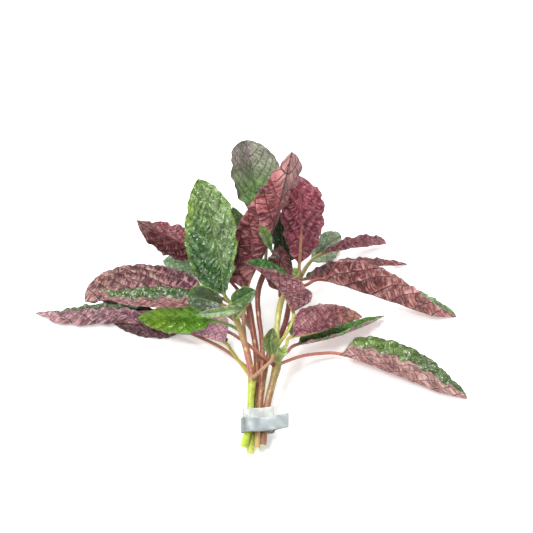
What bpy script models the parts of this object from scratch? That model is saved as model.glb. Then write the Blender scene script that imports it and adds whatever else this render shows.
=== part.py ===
"""A bunch of waffle plant cuttings (Hemigraphis), tied with white foam and a soft metal strip.

The bunch lies on a table. X runs to the right of the bunch, Y from the cut ends to the
leaf tips, Z up, and the origin is on the table under the middle of the bunch.
"""

import math

import bmesh
import bpy
import numpy as np

MM = 0.001

# The view in which the leaves were placed: a 533 x 533 frame, 0.25 m wide at its aim point.
FRAME_PIXELS = 533
FRAME_WIDTH = 0.250
VIEW_ELEVATION = math.radians(50)
VIEW_DISTANCE = 0.70
AIM = np.array([0.0093, 0.0219, 0.030])
TOWARD_VIEW = np.array([0, -math.cos(VIEW_ELEVATION), math.sin(VIEW_ELEVATION)])
VIEW_UP = np.array([0, math.sin(VIEW_ELEVATION), math.cos(VIEW_ELEVATION)])

GAP = 0.3 * MM              # left between pieces that touch
BLADE_HALF_THICKNESS = 0.42 * MM
RIDGE = 0.5 * MM            # how far the midrib stands out under the blade at its base
RESTING_HEIGHT = 0.45 * MM  # the middle of a blade that lies on the table
RING_SIDES = 8
FINE_STEPS = 120            # along a blade, from which its rings are picked

GREEN = (0.16, 0.30, 0.08, 1)
PURPLE = (0.26, 0.06, 0.09, 1)
STEM_GREEN = (0.45, 0.52, 0.10, 1)
STEM_RED = (0.40, 0.16, 0.10, 1)
FOAM_WHITE = (0.85, 0.87, 0.85, 1)
METAL_GREY = (0.45, 0.47, 0.50, 1)


def clear_scene():
    for obj in list(bpy.data.objects):
        bpy.data.objects.remove(obj)


def collection(name):
    made = bpy.data.collections.new(name)
    bpy.context.scene.collection.children.link(made)
    return made


def material(name, colour, roughness, metallic=0.0):
    made = bpy.data.materials.new(name)
    made.use_nodes = True
    shader = made.node_tree.nodes["Principled BSDF"]
    shader.inputs["Base Color"].default_value = colour
    shader.inputs["Roughness"].default_value = roughness
    shader.inputs["Metallic"].default_value = metallic
    return made


def place(column, row, height):
    """The point `height` mm above the table that the view shows at that column and row."""
    pixel = FRAME_WIDTH / FRAME_PIXELS
    across = (column - FRAME_PIXELS / 2) * pixel
    up = (FRAME_PIXELS / 2 - row) * pixel
    eye = AIM + TOWARD_VIEW * VIEW_DISTANCE
    seen = AIM + np.array([across, 0, 0]) + VIEW_UP * up
    share = (eye[2] - height * MM) / (eye[2] - seen[2])
    return eye + (seen - eye) * share


def smooth_line(points, counts):
    """A Catmull-Rom curve through the points, cut into even steps.

    `counts` gives the number of steps for each group of spans: [(spans, steps), ...].
    """
    p = np.vstack([2 * points[0] - points[1], points, 2 * points[-1] - points[-2]])
    t = np.linspace(0, 1, 24, endpoint=False)[:, None]
    spans = []
    for a, b, c, d in zip(p[:-3], p[1:-2], p[2:-1], p[3:]):
        cubic = (3 * b - a - 3 * c + d) * t**3
        spans.append(0.5 * (2 * b + (c - a) * t + (2 * a - 5 * b + 4 * c - d) * t**2 + cubic))
    fine = np.vstack([*spans, points[-1:]])
    line = [fine[:1]]
    first = 0
    for span_count, steps in counts:
        last = first + 24 * span_count
        piece = fine[first:last + 1]
        run = np.append(0, np.cumsum(np.linalg.norm(np.diff(piece, axis=0), axis=1)))
        even = np.linspace(0, run[-1], steps + 1)[1:]
        line.append(np.column_stack([np.interp(even, run, piece[:, k]) for k in range(3)]))
        first = last
    return np.vstack(line)


def unit(vectors):
    return vectors / np.linalg.norm(vectors, axis=-1, keepdims=True)


def loft(name, rings, finish, parts):
    """One closed skin through rings of equal size, with both ends capped."""
    mesh = bmesh.new()
    rows = [[mesh.verts.new(point) for point in ring] for ring in rings]
    for low, high in zip(rows[:-1], rows[1:]):
        for k in range(len(low)):
            after = (k + 1) % len(low)
            mesh.faces.new((low[k], low[after], high[after], high[k]))
    mesh.faces.new(rows[0])
    mesh.faces.new(rows[-1])
    bmesh.ops.recalc_face_normals(mesh, faces=mesh.faces)
    data = bpy.data.meshes.new(name)
    mesh.to_mesh(data)
    mesh.free()
    data.shade_smooth()
    data.set_sharp_from_angle(angle=math.radians(50))
    data.materials.append(finish)
    made = bpy.data.objects.new(name, data)
    parts.objects.link(made)
    return made


def tube(name, line, radii, finish, parts, sides=8):
    """A round stem along a line, with a radius at each of its points."""
    curve = bpy.data.curves.new(name, "CURVE")
    curve.dimensions = "3D"
    curve.bevel_depth = 1.0
    curve.bevel_resolution = sides // 2 - 2
    curve.use_fill_caps = True
    curve.materials.append(finish)
    spline = curve.splines.new("POLY")
    spline.points.add(len(line) - 1)
    for point, place_at, radius in zip(spline.points, line, radii):
        point.co = (*place_at, 1)
        point.radius = radius
    made = bpy.data.objects.new(name, curve)
    parts.objects.link(made)
    return made


def as_mesh(tube_object, parts):
    """A closed mesh copy of a tube, which takes the tube's place."""
    name = tube_object.name
    graph = bpy.context.evaluated_depsgraph_get()
    data = bpy.data.meshes.new_from_object(tube_object.evaluated_get(graph))
    welded = bmesh.new()
    welded.from_mesh(data)
    bmesh.ops.remove_doubles(welded, verts=welded.verts, dist=0.002 * MM)
    bmesh.ops.recalc_face_normals(welded, faces=welded.faces)
    welded.to_mesh(data)
    welded.free()
    bpy.data.objects.remove(tube_object)
    made = bpy.data.objects.new(name, data)
    parts.objects.link(made)
    return made


def cutter(obj):
    obj.hide_render = True
    obj.display_type = "WIRE"
    return obj


def subtract(obj, tool):
    cut = obj.modifiers.new("cut by " + tool.name, "BOOLEAN")
    cut.operation = "DIFFERENCE"
    cut.solver = "EXACT"
    cut.object = tool


# Stems: column, row, height in mm and radius in mm from the cut end to the growing tip.
STEMS = {
    "stem_left": [
        (243.5, 447, 4.8, 1.6), (247.5, 432, 8.8, 1.6), (250, 415, 12.4, 1.55), (250.8, 396, 15.8, 1.5),
        (252, 379, 18.4, 1.9), (250.5, 368, 20.4, 1.5), (246.5, 350, 23.6, 1.45), (241, 332, 27.6, 1.35),
        (235.5, 318, 31.5, 1.4), (230, 309, 34, 0.9),
    ],
    "stem_back_left": [
        (250, 453, 1.5, 1.5), (252.5, 432, 6, 1.5), (254, 415, 9.6, 1.4), (255.5, 398, 12.6, 1.35),
        (257, 374, 15.4, 1.4), (256, 350, 17.4, 1.35), (252.5, 328, 19, 1.3), (248.5, 305, 20.6, 1.6),
        (247.5, 299, 21.4, 1.0),
    ],
    "stem_middle": [
        (257.5, 448, 5.6, 1.2), (258, 430, 9.2, 1.2), (259.5, 410, 13, 1.15), (261.3, 388, 16.4, 1.1),
        (262.5, 362, 19, 1.1), (261.5, 338, 20.8, 1.1), (258.5, 314, 22.8, 1.1), (258, 292, 26, 1.3),
        (264.5, 272, 30, 1.2), (270.5, 258, 33, 0.9),
    ],
    "stem_back_right": [
        (257, 447, 2.8, 1.2), (259, 430, 6.4, 1.2), (260.3, 410, 10.2, 1.15), (262, 392, 12.6, 1.15),
        (265, 372, 14.2, 1.2), (270, 352, 15.3, 1.2), (279, 338, 16.2, 1.2), (285.5, 322, 17.2, 1.2),
        (289, 304, 18.4, 1.3), (290, 293, 19.6, 0.9),
    ],
    "stem_right": [
        (262.5, 445, 5, 1.6), (264.7, 425, 9, 1.6), (267.2, 405, 12.8, 1.55), (272, 385, 15.9, 1.5),
        (277, 364, 18.4, 2.1), (276.5, 345, 20.4, 1.3), (277.5, 322, 22.2, 1.2), (281.5, 300, 24, 1.5),
        (289, 288, 24.6, 1.2), (298, 278, 25, 1.4), (299.5, 272, 26.5, 0.8),
    ],
}


def make_stems(parts, cutters):
    green = material("stem_green", STEM_GREEN, 0.45)
    red = material("stem_red", STEM_RED, 0.45)
    tools = {}
    for name, rows in STEMS.items():
        centres = np.array([place(*row[:3]) for row in rows])
        radii = np.array([row[3] for row in rows]) * MM
        steps = len(rows) - 1
        line = smooth_line(centres, [(steps, 2 * steps)])
        run = np.append(0, np.cumsum(np.linalg.norm(np.diff(centres, axis=0), axis=1)))
        fine_run = np.append(0, np.cumsum(np.linalg.norm(np.diff(line, axis=0), axis=1)))
        widths = np.interp(fine_run / fine_run[-1], run / run[-1], radii)
        finish = green if "left" in name else red
        tube(name, line, widths, finish, parts)
        fat = tube(name + "_cutter", line, widths + GAP, finish, cutters, sides=12)
        tools[name] = cutter(as_mesh(fat, cutters))
    return tools


def half_width(share, shape):
    """Half the blade's width at a share of its length, where the widest place is 1.

    `shape` holds two powers, of the base and the tip: the smaller, the blunter.
    """
    widest = shape[0] / (shape[0] + shape[1])
    rise = (share / widest) ** shape[0]
    return rise * ((1 - share) / (1 - widest)) ** shape[1]


def blade_frames(line, shares, roll):
    """Tangent, upper-side normal and right-hand side along a midrib.

    A roll of 0 turns the upper side to the view, and 180 the underside.
    """
    along = unit(np.gradient(line, axis=0))
    facing = unit(TOWARD_VIEW - along * (along @ TOWARD_VIEW)[:, None])
    turn = np.radians(roll[0] + (roll[1] - roll[0]) * shares)[:, None]
    normal = facing * np.cos(turn) + np.cross(along, facing) * np.sin(turn)
    return along, normal, np.cross(along, normal)


def across_blade(reach, fold, curl):
    """How far out and up a half blade gets at a share of its width, folded and curled."""
    start = math.radians(fold)
    bend = math.radians(curl) if abs(curl) > 0.01 else 0.0002
    end = start + bend * reach
    out = (math.sin(end) - math.sin(start)) / bend
    up = (math.cos(start) - math.cos(end)) / bend
    return out, up, end


def leaf_rings(petiole, midrib, width, roll, fold, curl, shape, stalk=0.8):
    """A leaf: a round stalk from its stem, then a blade folded along its midrib.

    `petiole` and `midrib` hold (column, row, height in mm); `width` is the greatest half
    width in mm; `roll`, `fold` and `curl` are in degrees: roll at the base and the tip,
    fold and curl of the left and the right half, with the upper side inside the fold.
    Where the halves differ, `width` and `shape` hold a pair, left and right.
    """
    widths = width if isinstance(width, tuple) else (width, width)
    shapes = shape if isinstance(shape[0], tuple) else (shape, shape)
    points = np.array([place(*p) for p in petiole + midrib])
    stalk_steps = 2 * len(petiole)
    line = smooth_line(points, [(len(petiole), stalk_steps), (len(midrib) - 1, FINE_STEPS)])
    steps = 10 if max(widths) > 6 else 6
    even = np.linspace(0, 1, steps + 1)
    spread = np.rint((even / 2 + (1 - np.cos(math.pi * even)) / 4) * FINE_STEPS).astype(int)
    stalk_line, blade_line = line[:stalk_steps], line[stalk_steps:][spread]
    shares = spread / FINE_STEPS
    along, normal, side = blade_frames(blade_line, shares, roll)
    angles = [2 * math.pi * k / RING_SIDES for k in range(RING_SIDES)]
    radius = stalk * MM

    rings = []
    stalk_normal = normal[0]
    stalk_along = unit(np.gradient(line[:stalk_steps + 1], axis=0))[:-1]
    for centre, direction in zip(stalk_line[::-1], stalk_along[::-1]):
        stalk_normal = unit(stalk_normal - direction * (stalk_normal @ direction))
        stalk_side = np.cross(direction, stalk_normal)
        rings.append([
            centre + (stalk_side * math.cos(a) + stalk_normal * math.sin(a)) * radius
            for a in angles
        ])
    rings.reverse()

    for i, (centre, share) in enumerate(zip(blade_line, shares)):
        flat = min(1, share / 0.08)
        least = 0.5 if share > 0.5 else stalk
        reaches = [max(w * half_width(share, form), least) for w, form in zip(widths, shapes)]
        ring = []
        for a in angles:
            c, s = math.cos(a), math.sin(a)
            reach = 0 if abs(c) < 1e-9 else abs(c)
            hand = 0 if reach == 0 else math.copysign(1, c)
            half = 1 if hand > 0 else 0
            out, up, end = across_blade(reach, fold[half], curl[half])
            if hand == 0:
                end = 0
            middle = centre + (side[i] * hand * out + normal[i] * up) * reaches[half] * MM
            middle[2] = max(middle[2], RESTING_HEIGHT)
            tilt = normal[i] * math.cos(end) - side[i] * hand * math.sin(end)
            depth = BLADE_HALF_THICKNESS * s
            if hand == 0 and s < 0:
                depth -= RIDGE * (1 - share)
            lens = middle + tilt * depth
            round_point = centre + (side[i] * c + normal[i] * s) * radius
            point = round_point + (lens - round_point) * flat
            point[2] = max(point[2], 0)
            ring.append(point)
        rings.append(ring)

    return rings


# A blade's shape by the powers of its base and its tip.
PLAIN = (0.55, 0.80)
BLUNT_BASE = (0.36, 0.76)
WIDE_MIDDLE = (0.62, 0.72)
BLUNT_TIP = (0.58, 0.48)
BLUNT_BOTH = (0.36, 0.60)
BROAD_BASE = (0.32, 0.95)
SLOW_BASE = (0.95, 0.72)
FAR_HALF = (1.2, 0.55)
WIDE_TIP = (0.8, 0.36)
LONG_TIP = (0.32, 1.5)
NEAR_TIP = (4, 0.7)

# Leaves: their stem, then stalk and midrib as (column, row, height in mm), the greatest half
# width in mm, roll at the base and the tip, fold of the left and the right half, curl, shape.
# Width and shape are a pair, left and right, where the halves differ.
LEAVES = {
    # The upper crown, which stands off the table.
    "leaf_green_front": ("stem_back_left", [(248.5, 303, 20.8), (236, 303, 23.5)],
        [(225, 296, 28), (220, 258, 43), (209.5, 214, 58), (198, 179, 70)],
        (15.4, 13.6), (-26, 6), (38, 38), (-10, -10), (WIDE_MIDDLE, SLOW_BASE), "green"),
    "leaf_top_back": ("stem_middle", [(264.8, 271, 30.2), (266, 244, 37)],
        [(260, 212, 49), (252.5, 170, 64), (246.5, 140, 72)],
        (12.9, 13.7), (4, 4), (38, 25), (0, 0), (BLUNT_TIP, WIDE_MIDDLE), "green"),
    "leaf_purple_tall": ("stem_left", [(246.5, 350, 23.6), (244.5, 333, 24), (243.5, 315, 26), (246, 302, 27)],
        [(246.5, 292, 29), (252, 275, 37), (262, 255, 46), (272, 232, 58), (283, 190, 76), (292, 152, 88)],
        (12.7, 17), (222, 172), (64, 42), (0, 0), (NEAR_TIP, BLUNT_BASE), "purple"),
    "leaf_purple_upright": ("stem_right", [(299.2, 273, 26.2), (299.3, 270, 28.2)],
        [(299.3, 264, 32), (301.2, 235, 46.5), (300.5, 205, 60), (300, 185, 66), (299, 176, 66)],
        (12.8, 11.2), (180, 180), (24, 28), (12, 12), BLUNT_TIP, "purple"),
    "leaf_bud": ("stem_right", [(296.5, 279.3, 25.2), (296.5, 278, 27.5)],
        [(296.7, 276.5, 28.5), (296, 272, 30), (294.3, 267.5, 31)],
        1.8, (0, 0), (25, 25), (0, 0), PLAIN, "green"),
    "leaf_dark_centre": ("stem_right", [(281.7, 299, 24), (280, 295, 24.5)],
        [(280, 291, 24), (279.5, 270, 29.5), (280, 246, 36.5)],
        7, (180, 180), (15, 15), (0, 0), PLAIN, "purple"),
    "leaf_purple_left": ("stem_back_left", [(248.3, 302, 21), (232, 283, 25)],
        [(208, 257, 34), (175, 240, 43), (150, 229, 48), (137, 220.5, 50)],
        10.8, (186, 200), (38, 53), (0, 0), PLAIN, "purple"),
    "leaf_behind_tall": ("stem_back_left", [(250, 311, 20.4), (246.5, 288, 21.5)],
        [(240, 262, 31), (238, 235, 38), (233, 207, 46)],
        8, (0, 0), (30, 30), (0, 0), PLAIN, "green"),
    "leaf_behind_upright": ("stem_back_right", [(290, 295, 19.5), (287, 276, 20.5)],
        [(286, 264, 22.5), (282.5, 243, 29.5), (280, 213, 40)],
        8.5, (20, 20), (35, 35), (0, 0), PLAIN, "green"),
    "leaf_young_centre": ("stem_middle", [(270.3, 258.6, 33), (278.5, 257, 44.5)],
        [(272, 251, 52), (267.5, 239, 58), (261, 225.5, 66)],
        2.9, (0, 0), (30, 30), (0, 0), WIDE_TIP, "green"),

    # The left side.
    "leaf_left_broad": ("stem_back_left", [(252.5, 328, 19), (238, 308, 19.5)],
        [(206, 294, 22), (150, 298, 20), (84.5, 301, 18.5)],
        (17.4, 14), (112, 112), (50, 13), (0, 0), BLUNT_TIP, "purple"),
    "leaf_left_folded": ("stem_left", [(237, 321.5, 30.3), (227, 315, 31)],
        [(206, 304, 28.5), (165, 306.5, 26), (120, 303, 25), (95, 290, 24)],
        10.5, (70, 70), (44, 44), (0, 0), PLAIN, "purple"),
    "leaf_left_back_flat": ("stem_back_left", [(253, 331, 18.8), (228, 300, 11)],
        [(209, 275, 8), (186, 264.5, 5), (163, 261, 1)],
        8.5, (30, 30), (20, 20), (0, 0), PLAIN, "green"),
    "leaf_left_long": ("stem_back_left",
        [(257, 374, 15.4), (244, 365, 12), (228, 352, 7.5), (208, 341, 4.8)],
        [(165, 324, 5.5), (125, 322, 4), (85, 323, 3), (58, 321, 2.2), (36, 313, 0.7)],
        11, (82, 82), (53, 53), (0, 0), PLAIN, "purple"),
    "leaf_left_lowest": ("stem_right",
        [(275, 366, 18.6), (262, 355.5, 23.2), (243, 341, 19.8), (226, 331, 8), (205, 329, 3.6)],
        [(187, 326, 2.4), (150, 324, 1.7), (110, 320, 1)],
        7.5, (220, 220), (10, 10), (0, 0), PLAIN, "purple"),
    "leaf_left_bright": ("stem_left", [(240.5, 331, 27.8), (229, 325, 22)],
        [(212, 321, 18.5), (175, 319, 14.5), (138, 318, 11)],
        8, (0, 0), (30, 30), (0, 0), PLAIN, "green"),
    "leaf_left_pink": ("stem_left", [(251, 378, 18.6), (241, 364, 15), (231, 350, 12)],
        [(226, 343.5, 10.5), (207, 337, 9), (186, 331, 7.5)],
        (12.5, 4.5), (112, 112), (60, 60), (0, 0), BROAD_BASE, "purple"),
    "leaf_apex_left": ("stem_left", [(233, 313, 33), (228, 308, 35)],
        [(223, 305, 37), (208, 300, 37.5), (188, 295, 37)],
        6, (0, 0), (15, 15), (0, 0), BLUNT_TIP, "green"),
    "leaf_apex_right": ("stem_left", [(233, 314, 32.8), (229, 309, 37)],
        [(232, 303, 40), (243, 297, 42), (255, 290, 44)],
        5, (0, 0), (30, 30), (0, 0), WIDE_MIDDLE, "green"),
    "leaf_apex_low": ("stem_left", [(236, 319, 31.3), (241, 313, 36)],
        [(242, 308, 38), (220, 312.5, 38), (196, 315, 36.5)],
        2.6, (0, 0), (20, 20), (0, 0), PLAIN, "green"),

    # The right side.
    "leaf_right_inner": ("stem_right", [(278, 345, 20.4), (286, 334, 23.5), (292, 322, 26)],
        [(293.5, 313, 28), (286, 297, 33), (276, 284, 38), (260, 272, 44), (246, 263, 49)],
        (14, 7.8), (80, 80), (62, 62), (0, 0), (LONG_TIP, SLOW_BASE), "purple"),
    "leaf_right_middle": ("stem_right", [(277.3, 354, 19.4), (286, 346, 22)],
        [(291, 337, 22.5), (325, 330, 19), (362, 317, 14)],
        13.3, (-110, -110), (55, 55), (0, 0), BLUNT_BASE, "purple"),
    "leaf_right_narrow": ("stem_right", [(278.6, 360, 18.8), (287, 352, 13.5)],
        [(297, 344.5, 9.5), (335, 337, 7), (384, 316, 3)],
        (7.6, 9), (-76, -76), (31, 22), (0, 0), PLAIN, "purple"),
    "leaf_right_low": ("stem_right", [(277, 365, 18.2), (300, 356.5, 12.3), (320, 353.5, 8.5)],
        [(340, 354, 7.5), (375, 366, 6.5), (410, 379, 5), (440, 392, 3), (467, 398.5, 0.3)],
        15.2, (-72, -72), (50, 50), (0, 0), BLUNT_BOTH, "purple"),
    "leaf_right_broad": ("stem_right", [(294, 288, 24.6), (306, 285, 24)],
        [(322, 279.5, 21.5), (362, 290.5, 16), (398, 303, 10.5), (430, 314.5, 5), (456, 316.5, 0.3)],
        (10.5, 15.3), (-90, -90), (65, 65), (0, 0), (FAR_HALF, BROAD_BASE), "purple"),
    "leaf_right_behind": ("stem_right", [(299, 279.5, 24), (302.5, 279.5, 21)],
        [(305, 279, 20), (323, 276.5, 15), (365, 267, 8), (407, 264, 0.3)],
        (5.2, 8.2), (-90, -70), (55, 55), (0, 0), BLUNT_BASE, "purple"),
    "leaf_right_top": ("stem_right", [(300.3, 275.8, 25.2), (307.5, 264.5, 20)],
        [(320, 254.5, 15), (350, 247.5, 10), (386, 243.5, 3)],
        (6, 8.6), (-85, -85), (45, 45), (0, 0), SLOW_BASE, "purple"),
    "leaf_right_pale": ("stem_back_right", [(289.3, 301, 18.7), (303, 274, 13)],
        [(311.5, 261, 9.5), (325, 246, 7), (341, 236, 4)],
        7.8, (20, 20), (25, 25), (0, 0), WIDE_MIDDLE, "green"),
    "leaf_node_dark": ("stem_left", [(253, 378, 19.8), (262, 369.5, 24.2), (271, 361, 25.5)],
        [(272.5, 355, 27), (270.5, 342, 30), (273, 328, 33)],
        4.2, (0, 0), (35, 35), (0, 0), PLAIN, "green"),
    "leaf_node_pale": ("stem_right", [(279, 361, 19.5), (281, 358, 22.5)],
        [(282, 355, 24), (284, 350, 26), (285, 345, 28)],
        2.4, (-10, -10), (35, 35), (0, 0), PLAIN, "green"),
}


def make_leaves(parts, tools):
    green = material("leaf_green", GREEN, 0.35)
    purple = material("leaf_purple", PURPLE, 0.4)
    for name, leaf in LEAVES.items():
        stem, petiole, midrib, width, roll, fold, curl, shape, tone = leaf
        rings = leaf_rings(petiole, midrib, width, roll, fold, curl, shape)
        made = loft(name, rings, green if tone == "green" else purple, parts)
        subtract(made, tools[stem])


# The tie's path round the stems, in mm: across, up and along the stems, from the end of its
# tail round the stems and back under the tail.
TIE_PATH = [
    (14.1, 7.2, 1.6), (10.5, 6.2, 1.1), (6.5, 5.4, 0.5), (2, 5.0, 0), (-2.5, 4.9, 0),
    (-5.8, 3.8, 0), (-7.1, 0.8, 0), (-6.7, -2.4, 0), (-4.4, -4.6, 0), (0, -5.0, 0), (4, -4.9, 0),
    (6.6, -3.6, 0), (7.6, -0.5, 0.1), (7.8, 2.4, 0.3), (8.5, 4.6, 0.7), (10.5, 5.3, 1.1),
    (14.1, 6.3, 1.6),
]
TIE_SLOPE = math.radians(28)
METAL_THICKNESS = 0.5
FOAM_THICKNESS = 0.6


def tie_layer(name, inset, thickness, near, far, trim, finish, parts):
    """A flat strip bent along the tie's path, `inset` mm inside it, from `near` to `far` mm."""
    middle = place(256.9, 425, 9)
    up = np.array([0, -math.sin(TIE_SLOPE), math.cos(TIE_SLOPE)])
    along_stems = np.array([0, math.cos(TIE_SLOPE), math.sin(TIE_SLOPE)])
    path = np.array(TIE_PATH)
    line = smooth_line(path, [(len(path) - 1, 40)])
    line = line[trim:len(line) - trim]
    ahead = unit(np.gradient(line[:, :2], axis=0))
    inward = np.column_stack([ahead[:, 1], -ahead[:, 0]])
    inward *= np.sign(-(inward * line[:, :2]).sum(axis=1).mean())
    rings = []
    for point, side in zip(line, inward):
        ring = []
        for depth, edge in ((-0.5, near), (-0.5, far), (0.5, far), (0.5, near)):
            across, lift = point[:2] + side * (inset + depth * thickness)
            place_at = np.array([across, 0, 0]) + up * lift + along_stems * (edge + point[2])
            ring.append(middle + place_at * MM)
        rings.append(ring)
    return loft(name, rings, finish, parts)


def make_tie(parts):
    grey = material("tie_metal", METAL_GREY, 0.4, 0.8)
    white = material("tie_foam", FOAM_WHITE, 0.8)
    inset = METAL_THICKNESS / 2 + GAP / MM + FOAM_THICKNESS / 2
    tie_layer("tie_strip", 0, METAL_THICKNESS, -3.4, 3.0, 0, grey, parts)
    tie_layer("tie_foam", inset, FOAM_THICKNESS, -3.0, 7.2, 5, white, parts)


def main():
    clear_scene()
    parts = collection("waffle plant bunch")
    cutters = collection("cutters")
    cutters.hide_render = True
    tools = make_stems(parts, cutters)
    make_leaves(parts, tools)
    make_tie(parts)


main()
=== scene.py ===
"""A bunch of waffle plant cuttings (Hemigraphis), tied with white foam and a soft metal strip.

The bunch lies on a pale table with its cut ends to the viewer. Lengths are in metres, and in
millimetres where a name or a comment says so.
"""

import math

import bpy
import numpy as np
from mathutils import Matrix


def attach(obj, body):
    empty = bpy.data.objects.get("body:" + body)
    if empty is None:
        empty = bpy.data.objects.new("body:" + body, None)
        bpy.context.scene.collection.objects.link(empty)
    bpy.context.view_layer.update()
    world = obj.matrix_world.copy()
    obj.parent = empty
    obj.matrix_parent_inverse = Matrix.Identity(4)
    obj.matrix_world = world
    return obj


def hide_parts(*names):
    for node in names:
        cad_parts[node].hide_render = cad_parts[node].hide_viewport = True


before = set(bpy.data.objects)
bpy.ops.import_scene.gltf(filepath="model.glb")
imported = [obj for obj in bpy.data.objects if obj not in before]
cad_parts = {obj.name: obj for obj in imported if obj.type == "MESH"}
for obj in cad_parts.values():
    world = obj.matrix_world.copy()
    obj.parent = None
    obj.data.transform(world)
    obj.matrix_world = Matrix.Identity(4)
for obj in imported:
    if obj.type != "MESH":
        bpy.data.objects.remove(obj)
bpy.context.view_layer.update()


# Camera, table and light
# The bunch lies on a matt white table under a wide soft light from above and behind, with a
# smaller lamp that puts glints on the wet-looking leaves; their finish adds painted glints too.

FRAME_PIXELS = 533
FRAME_WIDTH = 0.250
VIEW_ELEVATION = math.radians(50)
VIEW_DISTANCE = 0.70
AIM = np.array([0.0093, 0.0219, 0.030])
TOWARD_VIEW = np.array([0, -math.cos(VIEW_ELEVATION), math.sin(VIEW_ELEVATION)])
VIEW_UP = np.array([0, math.sin(VIEW_ELEVATION), math.cos(VIEW_ELEVATION)])

scene = bpy.context.scene
lens = bpy.data.cameras.new("camera")
lens.lens = 36 * VIEW_DISTANCE / FRAME_WIDTH
lens.sensor_width = 36
lens.clip_start = 0.01
camera = bpy.data.objects.new("camera", lens)
camera.location = AIM + TOWARD_VIEW * VIEW_DISTANCE
camera.rotation_euler = (math.pi / 2 - VIEW_ELEVATION, 0, 0)
scene.collection.objects.link(camera)
scene.camera = camera

scene.view_settings.view_transform = "Standard"
scene.view_settings.look = "None"

sky = bpy.data.worlds.new("soft white room")
sky.use_nodes = True
sky.node_tree.nodes["Background"].inputs["Color"].default_value = (1, 1, 1, 1)
sky.node_tree.nodes["Background"].inputs["Strength"].default_value = 0.60
scene.world = sky


def soft_lamp(name, at, aim, size, watts):
    """A square lamp of `size` metres at one point, turned to face another."""
    light = bpy.data.lights.new(name, "AREA")
    light.size = size
    light.energy = watts
    lamp = bpy.data.objects.new(name, light)
    lamp.location = at
    away = np.array(at) - np.array(aim)
    level = math.hypot(away[0], away[1])
    lamp.rotation_euler = (math.atan2(level, away[2]), 0, math.atan2(away[0], -away[1]))
    scene.collection.objects.link(lamp)


soft_lamp("wide lamp", (-0.30, 0.30, 1.25), (0, 0.02, 0), 0.8, 21)
soft_lamp("glint lamp", (-0.30, -0.35, 1.0), (0, 0.02, 0.03), 0.16, 4.5)


def tint(red, green, blue):
    """A colour given as 0 to 255 values, as the linear values that shaders take."""
    share = np.array([red, green, blue]) / 255
    linear = np.where(share < 0.04045, share / 12.92, ((share + 0.055) / 1.055) ** 2.4)
    return (*linear.tolist(), 1)


table_finish = bpy.data.materials.new("white table")
table_finish.use_nodes = True
table_shader = table_finish.node_tree.nodes["Principled BSDF"]
table_shader.inputs["Base Color"].default_value = (0.93, 0.93, 0.93, 1)
table_shader.inputs["Roughness"].default_value = 0.9
table_shader.inputs["Specular IOR Level"].default_value = 0.1
table_shader.inputs["Emission Color"].default_value = (1, 1, 0.98, 1)
table_shader.inputs["Emission Strength"].default_value = 0.3
table_mesh = bpy.data.meshes.new("table")
table_mesh.from_pydata([(-4, -4, 0), (4, -4, 0), (4, 4, 0), (-4, 4, 0)], [], [(0, 1, 2, 3)])
table_mesh.materials.append(table_finish)
table = bpy.data.objects.new("table", table_mesh)
scene.collection.objects.link(table)


# Stems
# Five fleshy cut stems, slightly four-sided, lime green to red-brown, with a swelling at
# each joint. They are cut flat at the near end and show a pale core there.

MM = 0.001
STEM_SIDES = 28

# Column, row, height in mm and radius in mm, from the cut end to the growing tip.
STEMS = {
    "stem_left": [
        (243.5, 447, 4.8, 1.6), (247.5, 432, 8.8, 1.6), (250, 415, 12.4, 1.55), (250.8, 396, 15.8, 1.5),
        (252, 379, 18.4, 1.9), (250.5, 368, 20.4, 1.5), (246.5, 350, 23.6, 1.45), (241, 332, 27.6, 1.35),
        (235.5, 318, 31.5, 1.4), (230, 309, 34, 0.9),
    ],
    "stem_back_left": [
        (250, 453, 1.5, 1.5), (252.5, 432, 6, 1.5), (254, 415, 9.6, 1.4), (255.5, 398, 12.6, 1.35),
        (257, 374, 15.4, 1.4), (256, 350, 17.4, 1.35), (252.5, 328, 19, 1.3), (248.5, 305, 20.6, 1.6),
        (247.5, 299, 21.4, 1.0),
    ],
    "stem_middle": [
        (257.5, 448, 5.6, 1.2), (258, 430, 9.2, 1.2), (259.5, 410, 13, 1.15), (261.3, 388, 16.4, 1.1),
        (262.5, 362, 19, 1.1), (261.5, 338, 20.8, 1.1), (258.5, 314, 22.8, 1.1), (258, 292, 26, 1.3),
        (264.5, 272, 30, 1.2), (270.5, 258, 33, 0.9),
    ],
    "stem_back_right": [
        (257, 447, 2.8, 1.2), (259, 430, 6.4, 1.2), (260.3, 410, 10.2, 1.15), (262, 392, 12.6, 1.15),
        (265, 372, 14.2, 1.2), (270, 352, 15.3, 1.2), (279, 338, 16.2, 1.2), (285.5, 322, 17.2, 1.2),
        (289, 304, 18.4, 1.3), (290, 293, 19.6, 0.9),
    ],
    "stem_right": [
        (262.5, 445, 5, 1.6), (264.7, 425, 9, 1.6), (267.2, 405, 12.8, 1.55), (272, 385, 15.9, 1.5),
        (277, 364, 18.4, 2.1), (276.5, 345, 20.4, 1.3), (277.5, 322, 22.2, 1.2), (281.5, 300, 24, 1.5),
        (289, 288, 24.6, 1.2), (298, 278, 25, 1.4), (299.5, 272, 26.5, 0.8),
    ],
}

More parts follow.
